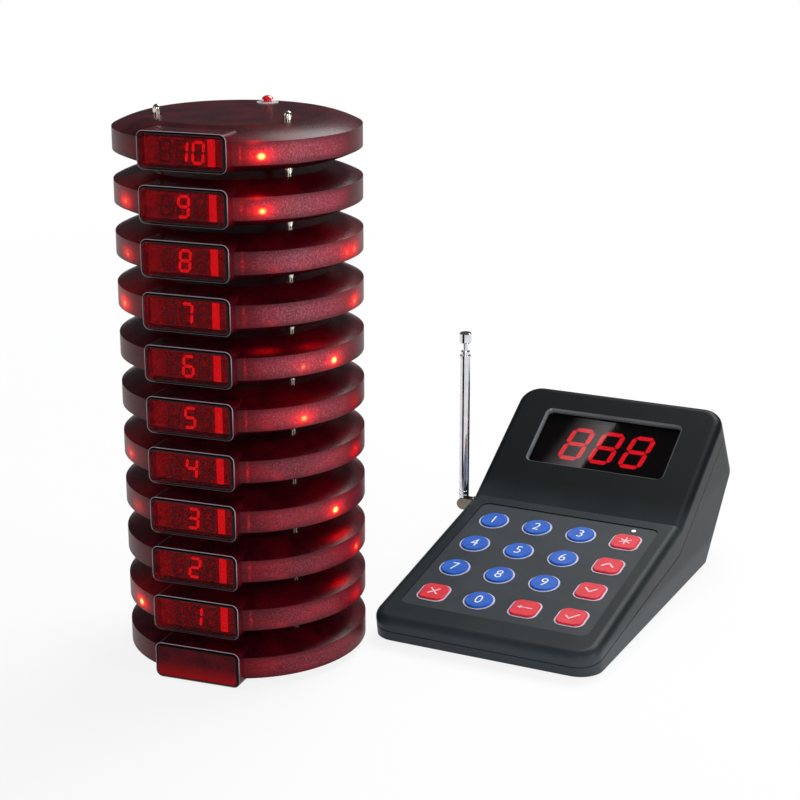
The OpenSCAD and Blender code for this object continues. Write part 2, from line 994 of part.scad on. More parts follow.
module antenna_outer_tube() {
  color([0.75, 0.76, 0.78])
    at_elbow() {
      mast_tube(mast_d, plug_top, outer_top, tube_wall, middle_d / 2 + run_gap);
      difference() {
        union() {
          translate([0, 0, mast_from])
            cylinder(h = plug_top - mast_from + eps, d = mast_d);
          intersection() {
            cylinder(h = 2 * mast_from, d = mast_d, center = true);
            cube([far, tongue_w - 2 * run_gap, far], center = true);
            union() {
              rotate([90, 0, 0])
                cylinder(h = far, r = cheek_r - slip_gap, center = true);
              translate([-cheek_r + slip_gap, -far / 2, 0])
                cube([2 * (cheek_r - slip_gap), far, far]);
            }
          }
        }
        rotate([90, 0, 0])
          cylinder(h = far, r = pin_d / 2 + run_gap, center = true);
        for (z = plug_rings)
          translate([0, 0, z])
            difference() {
              cylinder(h = ring_h, d = mast_d + 1);
              cylinder(h = far, d = mast_d - 2 * ring_deep, center = true);
            }
      }
    }
}

module antenna_middle_tube() {
  color([0.75, 0.76, 0.78])
    at_elbow() {
      mast_tube(middle_d, plug_top + slide_rise, middle_top, tube_wall, tip_d / 2 + run_gap);
      difference() {
        translate([0, 0, plug_top + slide_rise])
          cylinder(h = slide_l, r = mast_d / 2 - tube_wall - run_gap);
        cylinder(h = far, r = middle_d / 2 - tube_wall);
      }
    }
}

module antenna_tip_rod() {
  color([0.75, 0.76, 0.78])
    at_elbow() {
      translate([0, 0, plug_top + 2 * slide_rise])
        cylinder(h = mast_l - cap_l - plug_top - 2 * slide_rise + eps, d = tip_d);
      translate([0, 0, plug_top + 2 * slide_rise])
        cylinder(h = slide_l, r = middle_d / 2 - tube_wall - run_gap);
      translate([0, 0, mast_l - cap_l])
        cylinder(h = cap_edge, d1 = cap_d - 2 * cap_edge, d2 = cap_d);
      translate([0, 0, mast_l - cap_l + cap_edge - eps])
        cylinder(h = cap_l - 2 * cap_edge + 2 * eps, d = cap_d);
      translate([0, 0, mast_l - cap_edge])
        cylinder(h = cap_edge, d1 = cap_d, d2 = cap_d - 2 * cap_edge);
    }
}

// ---- The ten pagers and the sixteen keys, each piece in its own place ----

module pager_01_cover() {
  at_level(1)
    pager_cover();
}

module pager_01_lower_shell_and_board() {
  at_level(1)
    pager_lower();
}

module pager_01_button() {
  at_level(1)
    pager_button();
}

module pager_02_cover() {
  at_level(2)
    pager_cover();
}

module pager_02_lower_shell_and_board() {
  at_level(2)
    pager_lower();
}

module pager_02_button() {
  at_level(2)
    pager_button();
}

module pager_03_cover() {
  at_level(3)
    pager_cover();
}

module pager_03_lower_shell_and_board() {
  at_level(3)
    pager_lower();
}

module pager_03_button() {
  at_level(3)
    pager_button();
}

module pager_04_cover() {
  at_level(4)
    pager_cover();
}

module pager_04_lower_shell_and_board() {
  at_level(4)
    pager_lower();
}

module pager_04_button() {
  at_level(4)
    pager_button();
}

module pager_05_cover() {
  at_level(5)
    pager_cover();
}

module pager_05_lower_shell_and_board() {
  at_level(5)
    pager_lower();
}

module pager_05_button() {
  at_level(5)
    pager_button();
}

module pager_06_cover() {
  at_level(6)
    pager_cover();
}

module pager_06_lower_shell_and_board() {
  at_level(6)
    pager_lower();
}

module pager_06_button() {
  at_level(6)
    pager_button();
}

module pager_07_cover() {
  at_level(7)
    pager_cover();
}

module pager_07_lower_shell_and_board() {
  at_level(7)
    pager_lower();
}

module pager_07_button() {
  at_level(7)
    pager_button();
}

module pager_08_cover() {
  at_level(8)
    pager_cover();
}

module pager_08_lower_shell_and_board() {
  at_level(8)
    pager_lower();
}

module pager_08_button() {
  at_level(8)
    pager_button();
}

module pager_09_cover() {
  at_level(9)
    pager_cover();
}

module pager_09_lower_shell_and_board() {
  at_level(9)
    pager_lower();
}

module pager_09_button() {
  at_level(9)
    pager_button();
}

module pager_10_cover() {
  at_level(10)
    pager_cover();
}

module pager_10_lower_shell_and_board() {
  at_level(10)
    pager_lower();
}

module pager_10_button() {
  at_level(10)
    pager_button();
}

module key_1() {
  key(0, 0);
}

module key_2() {
  key(1, 0);
}

module key_3() {
  key(2, 0);
}

module key_function() {
  key(3, 0);
}

module key_4() {
  key(0, 1);
}

module key_5() {
  key(1, 1);
}

module key_6() {
  key(2, 1);
}

module key_up() {
  key(3, 1);
}

module key_7() {
  key(0, 2);
}

module key_8() {
  key(1, 2);
}

module key_9() {
  key(2, 2);
}

module key_down() {
  key(3, 2);
}

module key_cancel() {
  key(0, 3);
}

module key_0() {
  key(1, 3);
}

module key_back() {
  key(2, 3);
}

module key_enter() {
  key(3, 3);
}

// ---- Assembly ----

base_cover();
base_tub();
base_charging_board();
pager_01_cover();
pager_01_lower_shell_and_board();
pager_01_button();
pager_02_cover();
pager_02_lower_shell_and_board();
pager_02_button();
pager_03_cover();
pager_03_lower_shell_and_board();
pager_03_button();
pager_04_cover();
pager_04_lower_shell_and_board();
pager_04_button();
pager_05_cover();
pager_05_lower_shell_and_board();
pager_05_button();
pager_06_cover();
pager_06_lower_shell_and_board();
pager_06_button();
pager_07_cover();
pager_07_lower_shell_and_board();
pager_07_button();
pager_08_cover();
pager_08_lower_shell_and_board();
pager_08_button();
pager_09_cover();
pager_09_lower_shell_and_board();
pager_09_button();
pager_10_cover();
pager_10_lower_shell_and_board();
pager_10_button();
transmitter_upper_shell();
transmitter_lower_shell();
keypad_panel();
display_window();
display_module();
transmitter_circuit_board();
transmitter_feet();
antenna_swivel();
antenna_outer_tube();
antenna_middle_tube();
antenna_tip_rod();
key_1();
key_2();
key_3();
key_4();
key_5();
key_6();
key_7();
key_8();
key_9();
key_0();
key_function();
key_up();
key_down();
key_cancel();
key_back();
key_enter();
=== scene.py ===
import json
import math
import bmesh
import bpy
from mathutils import Matrix, Vector


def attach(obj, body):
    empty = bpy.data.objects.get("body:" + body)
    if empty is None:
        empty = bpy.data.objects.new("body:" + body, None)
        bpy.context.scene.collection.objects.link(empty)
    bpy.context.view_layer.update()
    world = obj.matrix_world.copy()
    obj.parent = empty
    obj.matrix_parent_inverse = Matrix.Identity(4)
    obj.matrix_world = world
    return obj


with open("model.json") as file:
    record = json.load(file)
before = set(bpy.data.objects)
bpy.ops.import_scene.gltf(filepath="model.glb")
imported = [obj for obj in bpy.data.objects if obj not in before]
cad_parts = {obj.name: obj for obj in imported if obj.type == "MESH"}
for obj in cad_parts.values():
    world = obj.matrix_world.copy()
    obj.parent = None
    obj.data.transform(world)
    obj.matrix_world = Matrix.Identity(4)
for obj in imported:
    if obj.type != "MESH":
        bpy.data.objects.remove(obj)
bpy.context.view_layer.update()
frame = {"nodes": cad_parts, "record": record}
scene = bpy.context.scene
NODES = frame["nodes"]
BODY_OF = {node: body for body, members in frame["record"]["behaviour"]["bodies"].items() for node in members}


def shift(x, y, z):
    return Matrix.Translation((x, y, z))


def turn(degrees, axis):
    return Matrix.Rotation(math.radians(degrees), 4, axis)


# ---- Sizes and places in the CAD model that the looks follow, in millimetres and degrees ----

MM = 0.001
PER_METRE = 1000

# The round devices. A height over a pager's underside is named _Z, and a distance from its axis _Y or _R.
PAGERS = 10
PITCH = 22
FIRST_Z = -1.4
PAGER_H = 18.6
RIM_R = 52.5
BAND_LOW, BAND_TOP = 4.65, 13.95
WINDOW_W, WINDOW_H = 39.5, 15.8
WINDOW_Y, WINDOW_Z = -54, 9.7
WINDOW_BEVEL, WINDOW_CORNER_R = 0.8, 2.2
BUTTON_Y, COLLAR_R = 31, 4.75
DISPLAY_Y, DISPLAY_Z = -51.6, 9.5
SCREW_RING_R, SCREW_ANGLES, SCREW_Z = 33, (50, 130, 222, 318), 0.5
SCREW_HEAD_R, SCREW_HEAD_H = 1.95, 1.4

# How wide the solids of a pager's works are, and where its display begins on the board.
POST_MOST_W, CELL_MOST_W, BOARD_MOST_W = 9, 60, 95
DISPLAY_BACK_Y, DISPLAY_LOW_Z = -40, 6.45

# The base's posts, where its socket begins over the table, and the foot of the socket's pin.
BASE_POST_MOST_W = 12
SOCKET_FRONT_Y, SOCKET_LOW_Z = 34, 8.6
PIN_Y, PIN_Z = 38.3, 8.8

# The transmitter's keypad and head have frames of their own: X across, Y up the slope, Z out of it.
TRANSMITTER = shift(105, 9, 0) @ turn(-6, "Z")
KEYPAD = TRANSMITTER @ shift(0, 0, 12) @ turn(10.5, "X")
HEAD_SLOPE = 32
HEAD = TRANSMITTER @ shift(0, 116, 33.5) @ turn(HEAD_SLOPE, "X")
KEY_STEP_X, KEY_STEP_Y, KEYS_MIDDLE_Y = 22.4, 23, 62.2
KEY_TOP, KEY_CROWN_LOW, KEY_RIM_LOW = 0.6, -0.22, -0.3
DISPLAY_MIDDLE_Y, DISPLAY_DEPTH = 44.3, 4.1
OPENING_W, OPENING_H, OPENING_DEPTH = 72.8, 36.4, 2.3
STATUS_X, STATUS_Y, STATUS_R, STATUS_LOW = 33.4, 108.4, 1.73, -6.7
SOCKET_BEYOND_Y = 130
FRONT_WALL_TOP, HEAD_FOOT = 14, 33

FACE_DOWN = turn(180, "X")
TO_BACK = turn(-90, "X")
TO_FRONT = turn(90, "X")


def pager_z(level):
    """Height of the underside of a pager, given by its number. The base is level 0."""
    return FIRST_Z + level * PITCH


def rgb(r, g, b):
    """An sRGB colour, 0 to 255, as linear values."""
    def linear(value):
        value /= 255
        return value / 12.92 if value <= 0.04045 else ((value + 0.055) / 1.055) ** 2.4
    return (linear(r), linear(g), linear(b), 1)


# ---- Node trees ----

class Nodes:
    """Short calls for the nodes of a tree."""

    def __init__(self, tree):
        self.tree = tree

    def node(self, kind, inputs=None, **settings):
        made = self.tree.nodes.new("ShaderNode" + kind)
        for key, value in settings.items():
            setattr(made, key, value)
        for key, value in (inputs or {}).items():
            if isinstance(value, bpy.types.NodeSocket):
                self.tree.links.new(value, made.inputs[key])
            else:
                made.inputs[key].default_value = value
        return made

    def maths(self, operation, *values):
        return self.node("Math", dict(enumerate(values)), operation=operation).outputs[0]

    def add(self, first, *others):
        for other in others:
            first = self.maths("ADD", first, other)
        return first

    def times(self, first, *others):
        for other in others:
            first = self.maths("MULTIPLY", first, other)
        return first

    def square(self, value):
        return self.maths("POWER", value, 2)

    def size_of(self, value):
        return self.maths("ABSOLUTE", value)

    def vector(self, operation, *values, **named):
        return self.node("VectorMath", {**dict(enumerate(values)), **named}, operation=operation).outputs[0]

    def number(self, operation, first, second):
        """A number that is worked out from two vectors."""
        return self.node("VectorMath", {0: first, 1: second}, operation=operation).outputs["Value"]

    def step(self, value, low, high, to_low=0.0, to_high=1.0):
        """Runs smoothly from to_low to to_high as value goes from low to high."""
        inputs = {0: value, 1: low, 2: high, 3: to_low, 4: to_high}
        return self.node("MapRange", inputs, interpolation_type="SMOOTHSTEP").outputs[0]

    def blend(self, factor, first, second):
        """The first colour where the factor is 0, and the second where it is 1."""
        return self.node("Mix", {0: factor, 6: first, 7: second}, data_type="RGBA").outputs[2]

    def principled(self, **inputs):
        return self.node("BsdfPrincipled", {key.replace("_", " "): v for key, v in inputs.items()}).outputs[0]

    def emission(self, colour, strength):
        return self.node("Emission", {"Color": colour, "Strength": strength}).outputs[0]

    def see_through(self, colour):
        return self.node("BsdfTransparent", {"Color": colour}).outputs[0]

    def both(self, first, second):
        return self.node("AddShader", {0: first, 1: second}).outputs[0]

    def share(self, factor, first, second):
        """The first shader where the factor is 0, and the second where it is 1."""
        return self.node("MixShader", {0: factor, 1: first, 2: second}).outputs[0]


class Shader(Nodes):
    """A material. Places and lengths in it are millimetres."""

    def __init__(self, name):
        self.material = bpy.data.materials.new(name)
        self.material.use_nodes = True
        super().__init__(self.material.node_tree)
        self.tree.nodes.clear()
        place = self.node("TexCoord").outputs["Object"]
        self.at = self.vector("SCALE", place, Scale=PER_METRE)
        self.x, self.y, self.z = self.node("SeparateXYZ", {0: self.at}).outputs

    def noise(self, size, detail=2, roughness=0.5, squeeze=(1, 1, 1), offset=0):
        """Noise whose lumps are about size millimetres across."""
        at = self.vector("MULTIPLY", self.at, squeeze)
        if offset:
            at = self.vector("ADD", at, (offset, offset, offset))
        inputs = {"Vector": at, "Scale": 1 / size, "Detail": detail, "Roughness": roughness}
        return self.node("TexNoise", inputs).outputs[0]

    def bump(self, height, strength, distance):
        inputs = {"Height": height, "Strength": strength, "Distance": distance * MM}
        return self.node("Bump", inputs).outputs[0]

    def finish(self, surface):
        self.node("OutputMaterial", {0: surface})
        return self.material


# ---- Plain materials ----

def mottled(s, cloud, fine, low, high):
    """A colour that varies slowly from low to high, with a little of the fine grain in it."""
    return s.blend(s.step(s.add(s.times(cloud, 0.7), s.times(fine, 0.3)), 0.35, 0.65), low, high)


def plain(name, low, high, rough=(0.35, 0.5), lumps=6, grain=0.5, bump=0.2, depth=0.1, **more):
    """A moulded or coated surface with slow colour variation and a fine grain."""
    s = Shader(name)
    fine = s.noise(grain, 2, 0.6)
    return s.finish(s.principled(
        Base_Color=mottled(s, s.noise(lumps, 3, 0.6), fine, low, high),
        Roughness=s.step(fine, 0.3, 0.7, *rough), Normal=s.bump(fine, bump, depth), **more))


def metal(name, low, high, rough=(0.08, 0.2)):
    """Polished or plated metal with faint upright draw lines."""
    s = Shader(name)
    lines = s.noise(0.35, 2, 0.6, squeeze=(1, 1, 0.1))
    cloud = s.noise(3, 2, 0.5)
    return s.finish(s.principled(
        Base_Color=s.blend(cloud, low, high), Metallic=1.0, Roughness=s.step(lines, 0.3, 0.7, *rough),
        Normal=s.bump(lines, 0.05, 0.02)))


def glowing(name, colour, strength, base=(30, 2, 4)):
    """A lit segment or lamp, a little uneven."""
    s = Shader(name)
    uneven = s.step(s.noise(0.9, 2, 0.5), 0.3, 0.7, 0.75, 1.1)
    return s.finish(s.principled(
        Base_Color=rgb(*base), Roughness=0.4, Emission_Color=colour,
        Emission_Strength=s.times(uneven, strength)))


def housing(name, low, high):
    """Satin charcoal plastic, with painted light that makes it paler low on the front wall and painted shade
    that makes it darker on the head than round the keypad.
    """
    s = Shader(name)
    fine = s.noise(0.35, 2, 0.6)
    tone = mottled(s, s.noise(34, 3, 0.6), fine, low, high)
    # Painted light low on the front wall, towards a paler grey, and painted shade on the head, towards near
    # black.
    painted_light_on_front_wall = s.step(s.z, FRONT_WALL_TOP, FRONT_WALL_TOP - 6, 0, 0.75)
    painted_shade_on_head = s.step(s.z, HEAD_FOOT, HEAD_FOOT + 9, 0, 0.8)
    colour = s.blend(painted_shade_on_head, s.blend(painted_light_on_front_wall, tone, rgb(62, 69, 74)), rgb(12, 16, 18))
    return s.finish(s.principled(
        Base_Color=colour, Roughness=s.step(fine, 0.3, 0.7, 0.36, 0.46), Normal=s.bump(fine, 0.22, 0.05),
        Specular_IOR_Level=0.12))


def lens():
    """The transmitter's display window: smoked and glossy, so that only the lit digits show through it."""
    s = Shader("display_lens")
    smear = s.noise(60, 2, 0.5)
    # Most of the pane is see-through, so what is left of it shines more.
    film = s.principled(
        Base_Color=s.blend(smear, rgb(2, 2, 3), rgb(5, 5, 6)), Roughness=s.step(smear, 0.3, 0.7, 0.02, 0.035),
        Specular_IOR_Level=0.55)
    return s.finish(s.share(0.6, film, s.see_through((0.98, 0.8, 0.8, 1))))


# ---- The pagers' smoked plastic ----

# Azimuths are degrees round the stack from the window's middle, to the right. Heights are over the underside.
# The azimuth round the stack where a painted sheen is put on the bands.
SHEEN_AZIMUTH = 56
FLARE_AZIMUTH = 25.8
LAMP_Z = 8.3


def height_in_pager(s):
    """Height over the underside of the pager that the point is in."""
    return s.maths("FLOORED_MODULO", s.add(s.z, -FIRST_Z), PITCH)


def spot(s, z, azimuth, middle_z, across, up):
    """1 at a point on the rim and falling off round it: across and up are its half sizes."""
    angle = math.radians(azimuth)
    outward = (math.sin(angle), -math.cos(angle), 0)
    sideways = (math.cos(angle), math.sin(angle), 0)
    away = s.vector("SUBTRACT", s.at, tuple(RIM_R * part for part in outward))
    far = s.add(
        s.square(s.times(s.number("DOT_PRODUCT", away, sideways), 1 / across)),
        s.square(s.times(s.add(z, -middle_z), 1 / up)),
        s.square(s.times(s.number("DOT_PRODUCT", away, outward), 0.5 / across)))
    return s.maths("EXPONENT", s.times(far, -1))


def slope_colour(s, speck):
    cloud = s.noise(14, 3, 0.6)
    colour = s.blend(s.step(cloud, 0.35, 0.68), rgb(40, 1, 6), rgb(74, 2, 13))
    return s.blend(s.times(speck, 0.22), colour, rgb(104, 20, 36))


def band_colour(s, z, speck):
    """Red in slow drifts, with a painted pinkish sheen where it faces SHEEN_AZIMUTH, painted shade away from
    it, and painted shade along its edges.
    """
    drift = s.noise(22, 3, 0.55, squeeze=(1, 1, 2.2), offset=13)
    colour = s.blend(s.step(drift, 0.34, 0.66), rgb(84, 2, 13), rgb(124, 3, 22))
    # Painted sheen: a pinkish grey where the band faces SHEEN_AZIMUTH, stronger higher up the stack.
    angle = math.radians(SHEEN_AZIMUTH)
    facing = s.add(s.times(s.x, math.sin(angle) / RIM_R), s.times(s.y, -math.cos(angle) / RIM_R))
    sheen_stronger_higher_up = s.step(s.z, 40, 190, 0.35, 1.25)
    painted_sheen = s.times(s.step(facing, 0.86, 1.0), sheen_stronger_higher_up)
    # The veil is the painted sheen together with the pale speck of the frosted plastic.
    veil = s.add(s.times(painted_sheen, 0.16), s.times(speck, s.add(s.times(painted_sheen, 0.3), 0.12)))
    colour = s.blend(veil, colour, rgb(178, 98, 114))
    # Painted shade where the band faces away from the painted sheen.
    colour = s.blend(s.times(s.step(facing, 0.98, 0.76), 0.6), colour, rgb(38, 2, 7))
    # Painted shade: the band is darker along its top and bottom edges.
    shade_at_edges = s.step(s.size_of(s.add(z, -(BAND_LOW + BAND_TOP) / 2)), 1.6, 4.7)
    return s.blend(s.times(shade_at_edges, 0.6), colour, rgb(58, 4, 12))


def rim_lights(s, z, glows, leaks):
    """The lamps seen through the band, the patches that they throw, and a painted red glow in a streak beside
    the window.
    """
    red = 0.0
    gold = 0.0
    for azimuth, strength, core in glows:
        halo = spot(s, z, azimuth, LAMP_Z, 4.6, 2.6)
        wide = spot(s, z, azimuth, LAMP_Z + 0.9, 15, 6)
        red = s.add(red, s.times(halo, 1.35 * strength), s.times(wide, 0.12 * strength))
        gold = s.add(gold, s.times(spot(s, z, azimuth, LAMP_Z - 0.2, 1.05, 0.85), core))
    for azimuth, middle_z, across, up, strength in leaks:
        red = s.add(red, s.times(spot(s, z, azimuth, middle_z, across, up), strength))
    uneven = s.step(s.noise(1.2, 2, 0.5, offset=3), 0.4, 0.6, 0.12, 0.5)
    # Painted glow: a thin red streak beside the window.
    red = s.add(red, s.times(spot(s, z, FLARE_AZIMUTH, 9, 0.5, 3.6), uneven))
    mottle = s.step(s.noise(1.9, 3, 0.6, offset=5), 0.3, 0.7, 0.55, 1.1)
    return s.both(s.emission(rgb(255, 8, 12), s.times(red, mottle)), s.emission(rgb(255, 214, 96), gold))


def smoked(name, lamps=None):
    """Smoked burgundy plastic, frosted on the band and satin on the slopes. Lamps are a pager's glows and
    leaks."""
    s = Shader(name)
    z = height_in_pager(s)
    radius = s.maths("SQRT", s.add(s.square(s.x), s.square(s.y)))
    on_band = s.times(
        s.step(radius, RIM_R - 0.3, RIM_R - 0.1), s.step(z, BAND_LOW - 0.3, BAND_LOW + 0.15),
        s.step(z, BAND_TOP + 0.15, BAND_TOP - 0.3))
    grain = s.noise(0.42, 2, 0.65)
    speck = s.step(s.noise(0.7, 2, 0.7, offset=31), 0.42, 0.68)
    surface = s.principled(
        Base_Color=s.blend(on_band, slope_colour(s, speck), band_colour(s, z, speck)),
        Roughness=s.add(s.times(on_band, 0.1), s.step(grain, 0.3, 0.7, 0.24, 0.36)),
        Normal=s.bump(s.add(s.times(grain, 0.8), s.times(s.noise(1.3, 2, 0.5), 0.4)), 0.3, 0.09),
        Specular_IOR_Level=0.14)
    return s.finish(s.both(surface, rim_lights(s, z, *lamps)) if lamps else surface)


# ---- The pagers' windows ----

def depth_in_window(s):
    """Distance inside the rounded outline of the window's flat face."""
    beside = s.size_of(s.x)
    above = s.size_of(s.add(height_in_pager(s), -WINDOW_Z))
    dx = s.maths("MAXIMUM", s.add(beside, -(WINDOW_W / 2 - WINDOW_BEVEL - WINDOW_CORNER_R)), 0)
    dz = s.maths("MAXIMUM", s.add(above, -(WINDOW_H / 2 - WINDOW_BEVEL - WINDOW_CORNER_R)), 0)
    out = s.add(s.square(dx), s.square(dz))
    return s.maths("SUBTRACT", WINDOW_CORNER_R, s.maths("SQRT", out))


class Pane(Shader):
    """Smoked red with a fine grain and a dark border, which the clear and the blank window share."""

    def __init__(self, name, veil, specular):
        super().__init__(name)
        self.specular = specular
        self.inside = self.step(depth_in_window(self), 0.3, 0.7)
        self.grain = self.noise(0.6, 3, 0.75)
        red = self.blend(self.step(self.noise(6, 3, 0.6, offset=9), 0.3, 0.7), rgb(52, 3, 9), rgb(80, 5, 14))
        self.red = self.blend(self.times(self.step(self.grain, 0.46, 0.66), veil), red, rgb(150, 40, 56))

    def skin(self, colour, haze):
        return self.principled(
            Base_Color=self.blend(self.inside, rgb(7, 1, 2), colour),
            Roughness=self.step(self.grain, 0.3, 0.7, 0.16, 0.26), Normal=self.bump(self.grain, 0.12, 0.04),
            Specular_IOR_Level=self.specular, Emission_Color=rgb(255, 6, 16), Emission_Strength=haze)


def clear_window():
    """A pager's window: it shows the display behind it, and stray light at its left."""
    s = Pane("window_face", veil=0.6, specular=0.2)
    patch = s.step(s.noise(3.2, 3, 0.65, offset=21), 0.36, 0.66, 0.12, 1.0)
    patch = s.times(patch, s.step(s.grain, 0.35, 0.65, 0.45, 1.2))
    stray = s.times(s.step(s.x, -9, -17, 0, 0.3), patch)
    haze = s.times(s.add(stray, s.times(s.step(s.grain, 0.45, 0.7), 0.05)), s.inside)
    clearness = s.times(s.inside, s.step(s.grain, 0.4, 0.66, 0.84, 0.56))
    return s.finish(s.share(clearness, s.skin(s.red, haze), s.see_through((1.0, 0.42, 0.42, 1))))


def blank_window():
    """The base's window, which has nothing behind it and is redder towards its foot, where a faint red glow
    is painted into it.
    """
    s = Pane("window_blank", veil=0.2, specular=0.07)
    low = s.step(height_in_pager(s), WINDOW_Z + 2, WINDOW_Z - 7)
    # Painted glow: a faint red emission towards the window's foot.
    return s.finish(s.skin(s.blend(s.times(low, 0.6), s.red, rgb(124, 4, 14)), s.times(low, s.inside, 0.1)))


def window_inside():
    s = Shader("window_inside")
    gloss = s.principled(Base_Color=rgb(60, 6, 12), Roughness=0.3)
    return s.finish(s.share(0.94, gloss, s.see_through((0.97, 0.8, 0.8, 1))))


def bezel():
    """The glossy bevel round a window, with a painted highlight: a pale line along its outer edge, stronger
    towards the top.
    """
    s = Shader("bezel_gloss")
    from_edge = s.add(depth_in_window(s), WINDOW_BEVEL - 0.02)
    highlight_stronger_up = s.step(height_in_pager(s), WINDOW_Z - 6, WINDOW_Z + 5, 0.35, 0.95)
    # Painted highlight along the bevel's outer edge.
    line = s.times(s.step(from_edge, 0.3, 0.1), highlight_stronger_up)
    fine = s.noise(0.4, 2, 0.6)
    dark = s.blend(s.noise(8, 2, 0.5), rgb(5, 1, 2), rgb(10, 2, 4))
    return s.finish(s.principled(
        Base_Color=s.blend(line, dark, rgb(176, 158, 168)), Roughness=s.step(fine, 0.3, 0.7, 0.12, 0.2),
        Normal=s.bump(fine, 0.06, 0.03), Specular_IOR_Level=0.08))


def display_face():
    """The face of a pager's display: nearly black, with a fine red glow painted over it."""
    s = Shader("pager_display_face")
    grain = s.noise(0.7, 3, 0.75)
    cloud = s.noise(4, 3, 0.6)
    glow = s.times(s.step(grain, 0.35, 0.7, 0.03, 0.26), s.step(cloud, 0.3, 0.7, 0.65, 1.15))
    return s.finish(s.principled(
        Base_Color=s.blend(grain, rgb(30, 2, 5), rgb(58, 6, 10)), Roughness=0.6, Specular_IOR_Level=0.2,
        Emission_Color=rgb(255, 10, 16), Emission_Strength=glow))


# ---- The materials ----

NICKEL = metal("nickel", rgb(188, 180, 164), rgb(222, 216, 204))
CHROME = metal("chrome", rgb(196, 198, 202), rgb(232, 234, 238), rough=(0.05, 0.14))
ELBOW = metal("elbow_nickel", rgb(104, 98, 86), rgb(146, 138, 122), rough=(0.16, 0.3))
SCREW = metal("screw_steel", rgb(120, 122, 126), rgb(158, 160, 164), rough=(0.22, 0.36))
CELL = metal("cell_steel", rgb(150, 154, 160), rgb(186, 190, 196), rough=(0.25, 0.4))
BOARD = plain("board_green", rgb(10, 60, 30), rgb(22, 92, 48), rough=(0.3, 0.45), lumps=12)

UNDERSIDE = smoked("burgundy_underside")
WINDOW = clear_window()
WINDOW_BLANK = blank_window()
WINDOW_INSIDE = window_inside()
BEZEL = bezel()
COLLAR = plain("pale_collar", rgb(196, 176, 180), rgb(224, 208, 208))
BUTTON = plain(
    "button_red", rgb(196, 8, 16), rgb(228, 20, 26), rough=(0.12, 0.22), Coat_Weight=0.4, Coat_Roughness=0.05)
DISPLAY_FACE = display_face()
DISPLAY_BODY = plain("display_body", rgb(20, 5, 7), rgb(32, 8, 10))
LIT = glowing("segment_lit", rgb(255, 12, 26), 0.95)
UNLIT = plain("segment_unlit", rgb(8, 2, 4), rgb(16, 3, 5), rough=(0.4, 0.55))
BAR = glowing("light_bar", rgb(255, 2, 20), 0.8)

HOUSING = housing("housing_charcoal", rgb(30, 35, 38), rgb(39, 44, 47))
HOUSING_LOWER = housing("housing_lower_charcoal", rgb(28, 33, 36), rgb(36, 41, 44))
PANEL = plain(
    "panel_charcoal", rgb(40, 46, 51), rgb(49, 55, 60), rough=(0.42, 0.55), lumps=26, grain=0.3, depth=0.05,
    Specular_IOR_Level=0.22)
# A paler grey on the display opening's walls and bevel, as a painted highlight.
OPENING_HIGHLIGHT = plain(
    "opening_bevel_highlight", rgb(92, 96, 99), rgb(112, 116, 119), rough=(0.22, 0.3), lumps=30, grain=0.4, bump=0.05,
    depth=0.03)
RUBBER = plain("foot_rubber", rgb(18, 18, 18), rgb(28, 28, 28), rough=(0.7, 0.85), bump=0.4)
LENS = lens()
DISPLAY_BLACK = plain(
    "display_black", rgb(5, 4, 5), rgb(8, 6, 7), rough=(0.5, 0.6), lumps=20, grain=3, bump=0.0,
    Specular_IOR_Level=0.1)
TX_LIT = glowing("transmitter_segment_lit", rgb(255, 24, 44), 2.0)
STATUS = glowing("status_light", rgb(235, 238, 245), 0.55, base=(200, 205, 210))

CROWN = dict(rough=(0.34, 0.46), lumps=5, grain=0.4, bump=0.1, Specular_IOR_Level=0.35)
SKIRT = dict(lumps=4, grain=0.4, bump=0.1)
PRINT = dict(rough=(0.4, 0.5), lumps=2, grain=0.3, bump=0.1)
KEY_BLUE = plain("key_blue", rgb(14, 80, 178), rgb(26, 98, 200), **CROWN)
KEY_RED = plain("key_red", rgb(206, 26, 44), rgb(226, 40, 58), **CROWN)
KEY_RIM = plain("key_rim", rgb(178, 176, 196), rgb(206, 204, 220), rough=(0.4, 0.55), **SKIRT)
KEY_SIDE = plain("key_skirt", rgb(120, 118, 136), rgb(140, 138, 156), rough=(0.45, 0.6), **SKIRT)
LEGEND_WHITE = plain("legend_white", rgb(226, 228, 234), rgb(242, 243, 246), **PRINT)
LEGEND_PINK = plain("legend_pink", rgb(240, 190, 198), rgb(250, 214, 218), **PRINT)


# ---- Which faces of a node get which material ----

def give(name, materials):
    """Gives a node its materials, and returns its mesh."""
    mesh = NODES[name].data
    mesh.materials.clear()
    for material in materials:
        mesh.materials.append(material)
    return mesh


def paint(name, materials, choose):
    """choose(centre, normal) returns the index of a face's material. Places are millimetres."""
    for face in give(name, materials).polygons:
        face.material_index = choose(face.center * PER_METRE, face.normal)


def paint_solids(name, materials, choose):
    """The same for a node of several solids, where choose also gets the size of the face's solid, first."""
    mesh = give(name, materials)
    for face, size in zip(mesh.polygons, solid_sizes(mesh)):
        face.material_index = choose(size, face.center * PER_METRE, face.normal)


